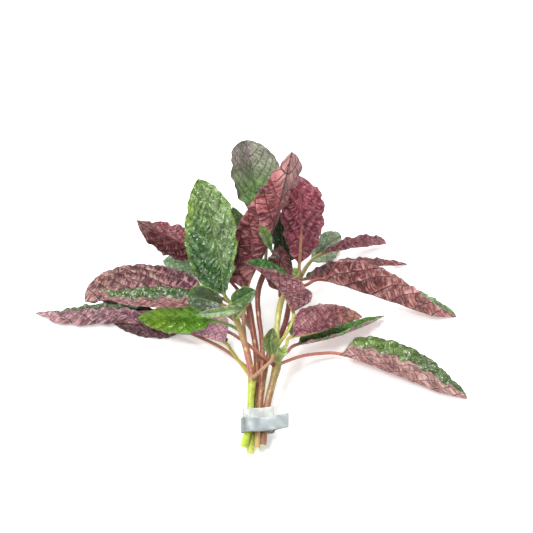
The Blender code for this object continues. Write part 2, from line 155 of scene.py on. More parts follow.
# Colours from the cut end to the growing tip: (share of the length, colour).
STEM_COLOURS = {
    "stem_left": [(0, (172, 196, 62)), (0.30, (166, 186, 66)), (0.44, (160, 168, 70)),
        (0.50, (146, 88, 74)), (0.66, (158, 104, 84)), (0.84, (150, 126, 76)), (1, (120, 128, 60))],
    "stem_back_left": [(0, (196, 206, 96)), (0.28, (122, 112, 62)), (0.5, (140, 92, 66)),
        (0.75, (134, 76, 60)), (1, (120, 74, 60))],
    "stem_middle": [(0, (176, 152, 98)), (0.2, (150, 96, 76)), (0.5, (132, 70, 62)), (1, (112, 62, 52))],
    "stem_back_right": [(0, (178, 190, 84)), (0.3, (164, 178, 72)), (0.46, (148, 110, 74)),
        (0.6, (120, 66, 58)), (1, (126, 56, 60))],
    "stem_right": [(0, (146, 104, 80)), (0.22, (146, 108, 80)), (0.42, (150, 138, 84)),
        (0.5, (152, 176, 96)), (0.62, (178, 180, 106)), (0.8, (186, 172, 100)), (1, (170, 120, 84))],
}


def place(rows):
    """Points given as (column, row, height in mm) in the view, as places in metres."""
    column, row, height = np.array(rows, dtype=float)[:, :3].T
    pixel = FRAME_WIDTH / FRAME_PIXELS
    eye = AIM + TOWARD_VIEW * VIEW_DISTANCE
    across = (column - FRAME_PIXELS / 2)[:, None] * pixel * np.array([1, 0, 0])
    seen = AIM + across + (FRAME_PIXELS / 2 - row)[:, None] * pixel * VIEW_UP
    share = (eye[2] - height * MM) / (eye[2] - seen[:, 2])
    return eye + (seen - eye) * share[:, None]


def smooth_line(points, counts):
    """A Catmull-Rom curve through the points, cut into even steps.

    `counts` gives the number of steps for each group of spans: [(spans, steps), ...].
    """
    p = np.vstack([2 * points[0] - points[1], points, 2 * points[-1] - points[-2]])
    t = np.linspace(0, 1, 24, endpoint=False)[:, None]
    spans = []
    for a, b, c, d in zip(p[:-3], p[1:-2], p[2:-1], p[3:]):
        cubic = (3 * b - a - 3 * c + d) * t**3
        spans.append(0.5 * (2 * b + (c - a) * t + (2 * a - 5 * b + 4 * c - d) * t**2 + cubic))
    fine = np.vstack([*spans, points[-1:]])
    line = [fine[:1]]
    first = 0
    for span_count, steps in counts:
        last = first + 24 * span_count
        piece = fine[first:last + 1]
        run = np.append(0, np.cumsum(np.linalg.norm(np.diff(piece, axis=0), axis=1)))
        even = np.linspace(0, run[-1], steps + 1)[1:]
        line.append(np.column_stack([np.interp(even, run, piece[:, k]) for k in range(3)]))
        first = last
    return np.vstack(line)


def unit(vectors):
    return vectors / np.linalg.norm(vectors, axis=-1, keepdims=True)


def run_of(line):
    """How far along the line each of its points lies, in metres."""
    return np.append(0, np.cumsum(np.linalg.norm(np.diff(line, axis=0), axis=1)))


def carried_frames(line, first_normal):
    """Tangent, normal and side along a line, the normal carried on from point to point."""
    along = unit(np.gradient(line, axis=0))
    normal = np.empty_like(line)
    last = first_normal
    for i, direction in enumerate(along):
        last = unit(last - direction * (last @ direction))
        normal[i] = last
    return along, normal, np.cross(along, normal)


def skin(name, grid, finish, marks):
    """A closed skin over a grid of points, rings by points round, with a fan at each end.

    Neighbouring rings are joined by four-sided faces. `marks` holds named values for each
    point of the grid: one number or three.
    """
    rings, around = grid.shape[:2]
    ends = np.array([grid[0].mean(axis=0), grid[-1].mean(axis=0)])
    points = np.vstack([grid.reshape(-1, 3), ends])
    here = np.arange(rings - 1)[:, None] * around + np.arange(around)
    turn = np.arange(rings - 1)[:, None] * around + (np.arange(around) + 1) % around
    quads = np.stack([here, turn, turn + around, here + around], axis=-1).reshape(-1, 4)
    edge = np.arange(around)
    after = (edge + 1) % around
    low_fan = np.column_stack([after, edge, np.full(around, rings * around)])
    last = (rings - 1) * around
    high_fan = np.column_stack([last + edge, last + after, np.full(around, rings * around + 1)])
    mesh = bpy.data.meshes.new(name)
    mesh.from_pydata(points.tolist(), [], quads.tolist() + low_fan.tolist() + high_fan.tolist())
    mesh.shade_smooth()
    for mark, values in marks.items():
        values = np.broadcast_to(values, (rings, around) + values.shape[2:])
        size = values.shape[2] if values.ndim == 3 else 1
        flat = values.reshape(rings * around, size)
        flat = np.vstack([flat, flat[:around].mean(axis=0), flat[-around:].mean(axis=0)])
        kind = "FLOAT_VECTOR" if size == 3 else "FLOAT"
        made = mesh.attributes.new(mark, kind, "POINT")
        made.data.foreach_set("vector" if size == 3 else "value", flat.ravel().astype(np.float32))
    mesh.materials.append(finish)
    mesh.update()
    piece = bpy.data.objects.new(name, mesh)
    scene.collection.objects.link(piece)
    return piece


def add_node(tree, kind, settings=None, inputs=None):
    """A shader node with its settings, and with each input set or wired."""
    made = tree.nodes.new("ShaderNode" + kind)
    for key, value in (settings or {}).items():
        setattr(made, key, value)
    for key, value in (inputs or {}).items():
        if isinstance(value, bpy.types.NodeSocket):
            tree.links.new(value, made.inputs[key])
        else:
            made.inputs[key].default_value = value
    return made


def calc(tree, operation, *values):
    """A Math node's result."""
    return add_node(tree, "Math", {"operation": operation}, dict(enumerate(values))).outputs[0]


def mix_colours(tree, share, first, second, kind="MIX"):
    """From the first colour to the second as the share goes from 0 to 1."""
    settings = {"data_type": "RGBA", "blend_type": kind, "clamp_factor": True}
    return add_node(tree, "Mix", settings, {0: share, 6: first, 7: second}).outputs[2]


def slope(tree, value, start, end, low=0.0, high=1.0):
    """A smooth step of the value from `low` at `start` to `high` at `end`."""
    inputs = {"Value": value, "From Min": start, "From Max": end, "To Min": low, "To Max": high}
    return add_node(tree, "MapRange", {"interpolation_type": "SMOOTHSTEP"}, inputs).outputs[0]


def speckle(tree, scale, detail=3.0, roughness=0.55):
    """Noise on the object's own coordinates, `scale` grains to the metre."""
    where = add_node(tree, "TexCoord").outputs["Object"]
    inputs = {"Vector": where, "Scale": scale, "Detail": detail, "Roughness": roughness}
    return add_node(tree, "TexNoise", None, inputs).outputs["Fac"]


def colour_run(tree, value, stops):
    """A colour ramp of the value through the listed colours."""
    ramp = add_node(tree, "ValToRGB", None, {"Fac": value})
    bar = ramp.color_ramp
    while len(bar.elements) < len(stops):
        bar.elements.new(1)
    for element, (at, colour) in zip(bar.elements, stops):
        element.position = at
        element.color = tint(*colour)
    return ramp.outputs["Color"]


def stem_finish(name, stops):
    """Smooth moist bark: a run of colours, fine lengthwise flecks and a pale cut core."""
    finish = bpy.data.materials.new(name)
    finish.use_nodes = True
    tree = finish.node_tree
    shader = tree.nodes["Principled BSDF"]
    place_on = add_node(tree, "Attribute", {"attribute_name": "stem_place"}).outputs["Vector"]
    parts = add_node(tree, "SeparateXYZ", None, {0: place_on}).outputs
    share = calc(tree, "ADD", parts[0], calc(tree, "MULTIPLY", calc(tree, "SUBTRACT",
        speckle(tree, 260), 0.5), 0.10))
    colour = colour_run(tree, share, stops)
    flecks = add_node(tree, "TexNoise", None, {"Vector": add_node(tree, "VectorMath",
        {"operation": "MULTIPLY"}, {0: place_on, 1: (34, 5, 5)}).outputs[0], "Scale": 1.0,
        "Detail": 3.0}).outputs["Fac"]
    colour = mix_colours(tree, slope(tree, flecks, 0.50, 0.68, 0, 0.34), colour, tint(120, 62, 44))
    colour = mix_colours(tree, slope(tree, flecks, 0.46, 0.30, 0, 0.32), colour, tint(222, 222, 150))
    core = slope(tree, parts[1], 1.2, 1.9)
    colour = mix_colours(tree, slope(tree, parts[1], 0.9, 1.1), colour, tint(206, 214, 140))
    colour = mix_colours(tree, core, colour, tint(232, 232, 196))
    tree.links.new(colour, shader.inputs["Base Color"])
    tree.links.new(slope(tree, flecks, 0.3, 0.7, 0.30, 0.46), shader.inputs["Roughness"])
    shader.inputs["Specular IOR Level"].default_value = 0.4
    bump = add_node(tree, "Bump", None, {"Strength": 0.5, "Distance": 0.0002, "Height": flecks})
    tree.links.new(bump.outputs[0], shader.inputs["Normal"])
    return finish


def stem_piece(name, rows):
    """A stem: rings of radius r(s)(1 + 0.05 cos 4a) along the line, rounded off at its top.

    The cut end turns in over a 0.15 mm bevel to a flat face. The mark holds the share of the
    length, how far in on the cut face (0 skin, 1 to 2 face), and the turn round the stem.
    """
    centres = place(rows)
    radii = np.array([row[3] for row in rows]) * MM
    line = smooth_line(centres, [(len(rows) - 1, 120)])
    run = run_of(line)
    radius = np.interp(run / run[-1], run_of(centres) / run_of(centres)[-1], radii)
    radius += 0.05 * MM * np.sin(run / (3.1 * MM)) + 0.03 * MM * np.sin(run / (1.3 * MM))
    radius *= np.sqrt(np.clip((run[-1] - run) / (1.2 * MM), 0.02, 1))
    along, normal, side = carried_frames(line, np.array([0, 0, 1.0]))
    angle = -2 * math.pi * np.arange(STEM_SIDES) / STEM_SIDES
    spoke = side[:, None] * np.cos(angle)[:, None] + normal[:, None] * np.sin(angle)[:, None]
    reach = radius[:, None] * (1 + 0.05 * np.cos(4 * angle))
    grid = line[:, None] + spoke * reach[..., None]
    face = [grid[0] * keep + line[0] * (1 - keep) + along[0] * back * MM
        for keep, back in ((0.02, 0.0), (0.45, 0.02), (0.70, 0.0), (0.90, 0.0), (0.97, 0.04))]
    grid = np.concatenate([face, grid[:1] + along[0] * 0.15 * MM, grid[3:]])
    depth = np.append([2, 1.7, 1.3, 1.05, 0.9], np.zeros(len(grid) - 5))
    share = np.append(np.zeros(6), run[3:] / run[-1])
    shape = grid.shape[:2]
    mark = np.stack([np.broadcast_to(share[:, None], shape), np.broadcast_to(depth[:, None],
        shape), np.broadcast_to(angle / (2 * math.pi), shape)], axis=-1)
    finish = stem_finish(name, STEM_COLOURS[name])
    piece = skin(name + "_skin", grid, finish, {"stem_place": mark})
    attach(piece, "root")
    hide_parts(name)


for stem_name, stem_rows in STEMS.items():
    stem_piece(stem_name, stem_rows)


# Leaves
# Each leaf is one thin quilted blade on a round stalk: glossy green above and wine red below,
# puckered between curved side veins and their cross veins, with a softly toothed margin.

# A blade's shape by the powers of its base and its tip: the smaller, the blunter.
PLAIN = (0.55, 0.80)
BLUNT_BASE = (0.36, 0.76)
WIDE_MIDDLE = (0.62, 0.72)
BLUNT_TIP = (0.58, 0.48)
BLUNT_BOTH = (0.36, 0.60)
BROAD_BASE = (0.32, 0.95)
SLOW_BASE = (0.95, 0.72)
FAR_HALF = (1.2, 0.55)
WIDE_TIP = (0.8, 0.36)
LONG_TIP = (0.32, 1.5)
NEAR_TIP = (4, 0.7)

# Stalk and midrib as (column, row, height in mm), the greatest half width in mm, roll at the
# base and the tip, fold of the left and the right half, curl, shape.
# Width and shape are a pair, left and right, where the halves differ.
LEAVES = {
    "leaf_green_front": ([(248.5, 303, 20.8), (236, 303, 23.5)],
        [(225, 296, 28), (220, 258, 43), (209.5, 214, 58), (198, 179, 70)],
        (15.4, 13.6), (-26, 6), (38, 38), (-10, -10), (WIDE_MIDDLE, SLOW_BASE)),
    "leaf_top_back": ([(264.8, 271, 30.2), (266, 244, 37)],
        [(260, 212, 49), (252.5, 170, 64), (246.5, 140, 72)],
        (12.9, 13.7), (4, 4), (38, 25), (0, 0), (BLUNT_TIP, WIDE_MIDDLE)),
    "leaf_purple_tall": ([(246.5, 350, 23.6), (244.5, 333, 24), (243.5, 315, 26), (246, 302, 27)],
        [(246.5, 292, 29), (252, 275, 37), (262, 255, 46), (272, 232, 58), (283, 190, 76), (292, 152, 88)],
        (12.7, 17), (222, 172), (64, 42), (0, 0), (NEAR_TIP, BLUNT_BASE)),
    "leaf_purple_upright": ([(299.2, 273, 26.2), (299.3, 270, 28.2)],
        [(299.3, 264, 32), (301.2, 235, 46.5), (300.5, 205, 60), (300, 185, 66), (299, 176, 66)],
        (12.8, 11.2), (180, 180), (24, 28), (12, 12), BLUNT_TIP),
    "leaf_bud": ([(296.5, 279.3, 25.2), (296.5, 278, 27.5)],
        [(296.7, 276.5, 28.5), (296, 272, 30), (294.3, 267.5, 31)],
        1.8, (0, 0), (25, 25), (0, 0), PLAIN),
    "leaf_dark_centre": ([(281.7, 299, 24), (280, 295, 24.5)],
        [(280, 291, 24), (279.5, 270, 29.5), (280, 246, 36.5)],
        7, (180, 180), (15, 15), (0, 0), PLAIN),
    "leaf_purple_left": ([(248.3, 302, 21), (232, 283, 25)],
        [(208, 257, 34), (175, 240, 43), (150, 229, 48), (137, 220.5, 50)],
        10.8, (186, 200), (38, 53), (0, 0), PLAIN),
    "leaf_behind_tall": ([(250, 311, 20.4), (246.5, 288, 21.5)],
        [(240, 262, 31), (238, 235, 38), (233, 207, 46)],
        8, (0, 0), (30, 30), (0, 0), PLAIN),
    "leaf_behind_upright": ([(290, 295, 19.5), (287, 276, 20.5)],
        [(286, 264, 22.5), (282.5, 243, 29.5), (280, 213, 40)],
        8.5, (20, 20), (35, 35), (0, 0), PLAIN),
    "leaf_young_centre": ([(270.3, 258.6, 33), (278.5, 257, 44.5)],
        [(272, 251, 52), (267.5, 239, 58), (261, 225.5, 66)],
        2.9, (0, 0), (30, 30), (0, 0), WIDE_TIP),
    "leaf_left_broad": ([(252.5, 328, 19), (238, 308, 19.5)],
        [(206, 294, 22), (150, 298, 20), (84.5, 301, 18.5)],
        (17.4, 14), (112, 112), (50, 13), (0, 0), BLUNT_TIP),
    "leaf_left_folded": ([(237, 321.5, 30.3), (227, 315, 31)],
        [(206, 304, 28.5), (165, 306.5, 26), (120, 303, 25), (95, 290, 24)],
        10.5, (70, 70), (44, 44), (0, 0), PLAIN),
    "leaf_left_back_flat": ([(253, 331, 18.8), (228, 300, 11)],
        [(209, 275, 8), (186, 264.5, 5), (163, 261, 1)],
        8.5, (30, 30), (20, 20), (0, 0), PLAIN),
    "leaf_left_long": ([(257, 374, 15.4), (244, 365, 12), (228, 352, 7.5), (208, 341, 4.8)],
        [(165, 324, 5.5), (125, 322, 4), (85, 323, 3), (58, 321, 2.2), (36, 313, 0.7)],
        11, (82, 82), (53, 53), (0, 0), PLAIN),
    "leaf_left_lowest": ([(275, 366, 18.6), (262, 355.5, 23.2), (243, 341, 19.8), (226, 331, 8),
        (205, 329, 3.6)],
        [(187, 326, 2.4), (150, 324, 1.7), (110, 320, 1)],
        7.5, (220, 220), (10, 10), (0, 0), PLAIN),
    "leaf_left_bright": ([(240.5, 331, 27.8), (229, 325, 22)],
        [(212, 321, 18.5), (175, 319, 14.5), (138, 318, 11)],
        8, (0, 0), (30, 30), (0, 0), PLAIN),
    "leaf_left_pink": ([(251, 378, 18.6), (241, 364, 15), (231, 350, 12)],
        [(226, 343.5, 10.5), (207, 337, 9), (186, 331, 7.5)],
        (12.5, 4.5), (112, 112), (60, 60), (0, 0), BROAD_BASE),
    "leaf_apex_left": ([(233, 313, 33), (228, 308, 35)],
        [(223, 305, 37), (208, 300, 37.5), (188, 295, 37)],
        6, (0, 0), (15, 15), (0, 0), BLUNT_TIP),
    "leaf_apex_right": ([(233, 314, 32.8), (229, 309, 37)],
        [(232, 303, 40), (243, 297, 42), (255, 290, 44)],
        5, (0, 0), (30, 30), (0, 0), WIDE_MIDDLE),
    "leaf_apex_low": ([(236, 319, 31.3), (241, 313, 36)],
        [(242, 308, 38), (220, 312.5, 38), (196, 315, 36.5)],
        2.6, (0, 0), (20, 20), (0, 0), PLAIN),
    "leaf_right_inner": ([(278, 345, 20.4), (286, 334, 23.5), (292, 322, 26)],
        [(293.5, 313, 28), (286, 297, 33), (276, 284, 38), (260, 272, 44), (246, 263, 49)],
        (14, 7.8), (80, 80), (62, 62), (0, 0), (LONG_TIP, SLOW_BASE)),
    "leaf_right_middle": ([(277.3, 354, 19.4), (286, 346, 22)],
        [(291, 337, 22.5), (325, 330, 19), (362, 317, 14)],
        13.3, (-110, -110), (55, 55), (0, 0), BLUNT_BASE),
    "leaf_right_narrow": ([(278.6, 360, 18.8), (287, 352, 13.5)],
        [(297, 344.5, 9.5), (335, 337, 7), (384, 316, 3)],
        (7.6, 9), (-76, -76), (31, 22), (0, 0), PLAIN),
    "leaf_right_low": ([(277, 365, 18.2), (300, 356.5, 12.3), (320, 353.5, 8.5)],
        [(340, 354, 7.5), (375, 366, 6.5), (410, 379, 5), (440, 392, 3), (467, 398.5, 0.3)],
        15.2, (-72, -72), (50, 50), (0, 0), BLUNT_BOTH),
    "leaf_right_broad": ([(294, 288, 24.6), (306, 285, 24)],
        [(322, 279.5, 21.5), (362, 290.5, 16), (398, 303, 10.5), (430, 314.5, 5), (456, 316.5, 0.3)],
        (10.5, 15.3), (-90, -90), (65, 65), (0, 0), (FAR_HALF, BROAD_BASE)),
    "leaf_right_behind": ([(299, 279.5, 24), (302.5, 279.5, 21)],
        [(305, 279, 20), (323, 276.5, 15), (365, 267, 8), (407, 264, 0.3)],
        (5.2, 8.2), (-90, -70), (55, 55), (0, 0), BLUNT_BASE),
    "leaf_right_top": ([(300.3, 275.8, 25.2), (307.5, 264.5, 20)],
        [(320, 254.5, 15), (350, 247.5, 10), (386, 243.5, 3)],
        (6, 8.6), (-85, -85), (45, 45), (0, 0), SLOW_BASE),
    "leaf_right_pale": ([(289.3, 301, 18.7), (303, 274, 13)],
        [(311.5, 261, 9.5), (325, 246, 7), (341, 236, 4)],
        7.8, (20, 20), (25, 25), (0, 0), WIDE_MIDDLE),
    "leaf_node_dark": ([(253, 378, 19.8), (262, 369.5, 24.2), (271, 361, 25.5)],
        [(272.5, 355, 27), (270.5, 342, 30), (273, 328, 33)],
        4.2, (0, 0), (35, 35), (0, 0), PLAIN),
    "leaf_node_pale": ([(279, 361, 19.5), (281, 358, 22.5)],
        [(282, 355, 24), (284, 350, 26), (285, 345, 28)],
        2.4, (-10, -10), (35, 35), (0, 0), PLAIN),
}


def leaf_look(upper, under, vein, stalk, upper_vein=(120, 140, 70), rim=None, painted_sheen_and_glints=0.3,
        gloss=0.5, waffle=1.0, rungs=0.6, rib=(0.1, 0.7), keel=0.0, rim_width=0.12, patches=()):
    """The colours of one leaf: (base, tip) above and below, and its veins, stalk and rim.

    The rib below turns from the stalk's colour to the veins' between the shares in `rib`.
    The silvery share above is painted sheen and painted white glints, not the leaf's colour.
    A patch is (side, share, its spread, across from -1 left to 1, its spread, colour, amount),
    on side 1 above or 0 below.
    """
    return {"upper": upper, "under": under, "vein": vein, "stalk": stalk, "upper_vein": upper_vein,
        "rim": rim or upper[1], "rim_width": rim_width, "painted_sheen_and_glints": painted_sheen_and_glints, "gloss": gloss,
        "waffle": waffle, "rungs": rungs, "rib": rib, "keel": keel, "patches": patches}


GREEN_ABOVE = ((64, 112, 44), (92, 132, 68))
LEAF_LOOKS = {
    "leaf_green_front": leaf_look(((50, 112, 28), (114, 149, 55)), ((120, 60, 76), (150, 90, 96)),
        (100, 40, 58), (150, 164, 84), (150, 172, 96), (116, 150, 52), 0.9, 1.0, 1.25, 0.5, rim_width=0.16,
        patches=[(1, 0.32, 0.5, -0.8, 0.85, (26, 98, 22), 0.95),
            # The pale grey-green patch over the middle and top is painted silvery sheen.
            (1, 0.6, 0.45, 0.3, 0.8, (135, 163, 105), 0.75),
            (1, 0.85, 0.35, -0.9, 0.3, (143, 172, 57), 0.6), (1, 0.05, 0.2, 0, 1.0, (36, 103, 30), 0.7)]),
    "leaf_top_back": leaf_look(((120, 153, 90), (141, 134, 121)), ((156, 84, 97), (178, 114, 115)),
        (100, 40, 58), (130, 110, 70), (70, 60, 70), (92, 88, 80), 0.15, 0.35, 0.45, 0.2,
        patches=[(1, 0.9, 0.35, -0.5, 0.8, (135, 108, 115), 0.6),
            (1, 0.3, 0.22, 0, 0.9, (120, 167, 82), 0.6)]),
    "leaf_purple_tall": leaf_look(GREEN_ABOVE, ((104, 32, 37), (135, 51, 51)), (66, 16, 28),
        (168, 122, 92), painted_sheen_and_glints=0.3, gloss=0.4, waffle=0.7, rungs=0.85, rib=(0.05, 0.2),
        # Below, the pale pink patch at the tip is painted sheen and the dark patch at the base is painted
        # shade.
        patches=[(0, 1.0, 0.26, 0, 1.3, (199, 147, 140), 0.85), (0, 0.15, 0.3, 0, 1.2, (93, 29, 35), 0.6)]),
    "leaf_purple_upright": leaf_look(GREEN_ABOVE, ((136, 44, 64), (140, 44, 62)), (150, 66, 76),
        (200, 148, 100), painted_sheen_and_glints=0.3, gloss=0.55, waffle=1.15, rungs=0.2, rib=(0.2, 0.5),
        # Below, the pinker patch low on the right is a painted highlight.
        patches=[(0, 0.2, 0.3, 0.4, 0.8, (159, 60, 82), 0.5)]),
    "leaf_bud": leaf_look(((157, 177, 90), (162, 188, 96)), ((120, 150, 80), (130, 160, 90)),
        (90, 120, 60), (140, 160, 90), waffle=0.3),
    "leaf_dark_centre": leaf_look(GREEN_ABOVE, ((121, 51, 54), (136, 64, 64)), (70, 18, 32),
        (120, 60, 60)),
    "leaf_purple_left": leaf_look(GREEN_ABOVE, ((148, 42, 54), (116, 55, 58)), (76, 22, 34),
        (150, 60, 60), painted_sheen_and_glints=0.2, waffle=1.1,
        patches=[(0, 1.0, 0.2, 0, 1.2, (137, 116, 80), 0.8), (0, 0.3, 0.5, -1, 0.5, (166, 45, 52), 0.7)]),
    "leaf_behind_tall": leaf_look(((66, 93, 37), (75, 107, 47)), ((100, 36, 50), (110, 46, 60)),
        (70, 20, 34), (120, 70, 60)),
    # Both sides nearly black: this leaf behind the others is painted as shade.
    "leaf_behind_upright": leaf_look(((14, 39, 5), (20, 47, 7)), ((65, 6, 9), (73, 9, 12)),
        (70, 20, 34), (110, 60, 56)),
    "leaf_young_centre": leaf_look(((94, 128, 43), (124, 150, 63)), ((148, 60, 67), (161, 69, 67)),
        (90, 50, 60), (88, 66, 50), (52, 96, 46), (128, 176, 110), 0.4, 0.7),
    "leaf_left_broad": leaf_look(GREEN_ABOVE, ((133, 65, 89), (167, 115, 106)), (87, 31, 48),
        (140, 80, 80), painted_sheen_and_glints=0.3, gloss=0.6, waffle=1.0,
        patches=[(0, 0.55, 0.4, 0.4, 0.7, (184, 132, 132), 0.8)]),
    "leaf_left_folded": leaf_look(((48, 82, 33), (82, 113, 41)), ((185, 124, 127), (174, 109, 103)),
        (87, 34, 43), (150, 100, 80), painted_sheen_and_glints=0.75, gloss=1.0, waffle=1.2,
        patches=[(0, 0.1, 0.3, 0, 1.0, (164, 87, 77), 0.8)]),
    "leaf_left_back_flat": leaf_look(((107, 134, 89), (117, 145, 101)), ((130, 70, 90), (140, 80, 96)),
        (100, 40, 60), (120, 120, 80), (60, 104, 74), painted_sheen_and_glints=0.35, gloss=0.5),
    "leaf_left_long": leaf_look(((74, 93, 46), (80, 100, 52)), ((159, 103, 117), (175, 122, 124)),
        (92, 40, 60), (160, 112, 74), painted_sheen_and_glints=0.3, gloss=0.6, keel=0.6,
        patches=[(0, 0.15, 0.3, 0, 1, (145, 81, 102), 0.7)]),
    "leaf_left_lowest": leaf_look(GREEN_ABOVE, ((151, 106, 118), (135, 93, 97)), (70, 24, 44),
        (156, 92, 72)),
    "leaf_left_bright": leaf_look(((117, 187, 32), (154, 202, 47)), ((176, 130, 136), (180, 130, 130)),
        (130, 70, 84), (110, 140, 60), (150, 186, 100), (184, 190, 140), 0.05, 0.4, 1.5, 0.4),
    "leaf_left_pink": leaf_look(GREEN_ABOVE, ((228, 165, 185), (217, 154, 171)), (107, 51, 68),
        (180, 170, 74), painted_sheen_and_glints=0.2, gloss=0.35, waffle=0.6),
    "leaf_apex_left": leaf_look(((38, 58, 4), (34, 67, 3)), ((110, 90, 60), (120, 130, 60)),
        (90, 70, 50), (140, 110, 70), (96, 124, 56), (122, 168, 52), 0.1, 0.6, 0.35, 0.2,
        patches=[(1, 0.15, 0.3, 0, 1, (46, 52, 6), 0.6), (1, 1.0, 0.2, 0.5, 1, (67, 109, 7), 0.8)]),
    "leaf_apex_right": leaf_look(((69, 100, 17), (50, 95, 7)), ((110, 140, 80), (110, 150, 80)),
        (90, 110, 60), (130, 140, 70), (110, 160, 90), (120, 170, 96), 0.35, 0.5, 0.5),
    "leaf_apex_low": leaf_look(((137, 156, 89), (122, 158, 84)), ((140, 170, 130), (140, 180, 130)),
        (110, 140, 100), (140, 160, 90), (170, 200, 160), (178, 206, 168), 0.4, 0.4, 0.5),
    "leaf_right_inner": leaf_look(((40, 104, 5), (42, 117, 5)), ((147, 81, 89), (154, 89, 91)),
        (87, 39, 57), (184, 178, 84), painted_sheen_and_glints=0.45, gloss=1.0, waffle=0.9,
        patches=[(0, 0.1, 0.25, 0, 1, (158, 89, 94), 0.6)]),
    "leaf_right_middle": leaf_look(GREEN_ABOVE, ((139, 58, 84), (184, 111, 104)), (87, 31, 54),
        (180, 168, 84), painted_sheen_and_glints=0.3, gloss=0.5, waffle=0.7,
        patches=[(0, 1.0, 0.3, 0, 1.3, (197, 139, 108), 0.8)]),
    "leaf_right_narrow": leaf_look(((72, 138, 9), (64, 120, 14)), ((208, 164, 148), (200, 154, 142)),
        (130, 64, 84), (184, 120, 90), painted_sheen_and_glints=0.4, gloss=0.8),
    "leaf_right_low": leaf_look(((99, 132, 38), (72, 96, 48)), ((175, 108, 108), (186, 136, 125)),
        (104, 37, 51), (186, 116, 100), painted_sheen_and_glints=0.55, gloss=0.8, waffle=0.9, keel=0.15,
        patches=[(1, 0.6, 0.25, 0, 1, (91, 102, 71), 0.6)]),
    "leaf_right_broad": leaf_look(((84, 128, 54), (136, 168, 112)), ((147, 69, 70), (188, 120, 113)),
        (84, 26, 40), (176, 92, 76), painted_sheen_and_glints=0.4, gloss=0.5, waffle=0.9, keel=0.2,
        patches=[(0, 0.45, 0.5, -1, 0.7, (171, 101, 66), 0.6)]),
    "leaf_right_behind": leaf_look(GREEN_ABOVE, ((117, 36, 43), (168, 80, 80)), (96, 34, 50),
        (168, 104, 84), keel=0.25),
    "leaf_right_top": leaf_look(GREEN_ABOVE, ((186, 84, 104), (192, 104, 119)), (88, 26, 42),
        (170, 150, 80), gloss=0.6, waffle=1.1, keel=0.25),
    "leaf_right_pale": leaf_look(((172, 198, 152), (186, 208, 170)), ((146, 112, 108), (146, 112, 108)),
        (110, 80, 80), (190, 180, 90), (96, 138, 92), (170, 196, 160), 0.4, 0.5),
    "leaf_node_dark": leaf_look(((116, 128, 47), (104, 114, 47)), ((100, 124, 59), (100, 113, 59)),
        (90, 80, 60), (172, 130, 96), (120, 160, 96), (130, 170, 110), 0.2, 0.5, 0.4),
    "leaf_node_pale": leaf_look(((229, 255, 152), (245, 255, 162)), ((130, 160, 90), (130, 160, 90)),
        (100, 130, 70), (140, 170, 90), (150, 180, 120), (160, 186, 130), 0.2, 0.5, 0.3),
}


def vein_masks():
    """The group that reads a blade's marks and gives its veins, cells, rim, rib and sides.

    Side veins lie where v is whole and cross veins where w, shifted in each row, is whole.
    """
    tree = bpy.data.node_groups.new("waffle leaf veins", "ShaderNodeTree")
    outputs = ["Side", "Share", "Across", "Edge", "Vein", "Rung", "Beside", "Rib", "Stalk", "Relief",
        "Cell", "Net", "Fold"]
    for output in outputs:
        tree.interface.new_socket(output, in_out="OUTPUT", socket_type="NodeSocketFloat")
    veins = add_node(tree, "SeparateXYZ", None,
        {0: add_node(tree, "Attribute", {"attribute_name": "veins"}).outputs["Vector"]}).outputs
    blade = add_node(tree, "SeparateXYZ", None,
        {0: add_node(tree, "Attribute", {"attribute_name": "blade"}).outputs["Vector"]}).outputs
    relief = add_node(tree, "Attribute", {"attribute_name": "relief"}).outputs["Fac"]
    wobble = calc(tree, "MULTIPLY", calc(tree, "SUBTRACT", speckle(tree, 230), 0.5), 0.16)
    v = calc(tree, "ADD", veins[0], wobble)
    row = calc(tree, "FLOOR", v)
    w = calc(tree, "ADD", calc(tree, "ADD", veins[1], wobble), calc(tree, "MULTIPLY", row, 0.618034))
    from_vein = calc(tree, "PINGPONG", v, 0.5)
    from_rung = calc(tree, "PINGPONG", w, 0.5)
    line = slope(tree, from_vein, 0.055, 0.015)
    rung = slope(tree, from_rung, 0.11, 0.03)
    near = calc(tree, "MAXIMUM", slope(tree, from_vein, 0.15, 0.06), slope(tree, from_rung, 0.28, 0.12))
    share, across, out_mm = blade[0], blade[1], blade[2]
    fold_place = add_node(tree, "CombineXYZ", None, {
        0: calc(tree, "MULTIPLY", v, calc(tree, "MULTIPLY_ADD", veins[2], 2.2, 1.8)),
        1: calc(tree, "MULTIPLY", calc(tree, "ADD", veins[1], wobble),
            calc(tree, "MULTIPLY_ADD", veins[2], -0.8, 2.4)),
        2: calc(tree, "MULTIPLY", calc(tree, "SIGN", across), 5.3)}).outputs[0]
    fold = add_node(tree, "TexNoise", None, {"Vector": fold_place, "Scale": 1.0, "Detail": 2.0,
        "Roughness": 0.6}).outputs["Fac"]
    cell_place = add_node(tree, "CombineXYZ", None, {0: row, 1: calc(tree, "FLOOR", w), 2: 0.0}).outputs[0]
    cell = add_node(tree, "TexWhiteNoise", {"noise_dimensions": "3D"}, {"Vector": cell_place})
    where = add_node(tree, "TexCoord").outputs["Object"]
    net = add_node(tree, "TexVoronoi", {"feature": "DISTANCE_TO_EDGE"}, {"Vector": where, "Scale": 950.0})
    edge = calc(tree, "ABSOLUTE", across)
    rib_width = calc(tree, "MULTIPLY_ADD", calc(tree, "MAXIMUM", share, 0.0), -0.55, 0.72)
    rib = slope(tree, calc(tree, "DIVIDE", out_mm, rib_width), 1.0, 0.55)
    results = {"Side": slope(tree, veins[2], 0.3, 0.7), "Share": share, "Across": across,
        "Edge": edge, "Vein": line, "Rung": rung, "Beside": near, "Rib": rib,
        "Stalk": slope(tree, share, 0.05, 0.0), "Relief": relief,
        "Cell": cell.outputs["Value"], "Net": slope(tree, net.outputs["Distance"], 0.0, 0.22),
        "Fold": fold}
    out = tree.nodes.new("NodeGroupOutput")
    for output, value in results.items():
        tree.links.new(value, out.inputs[output])
    return tree


veins_group = vein_masks()


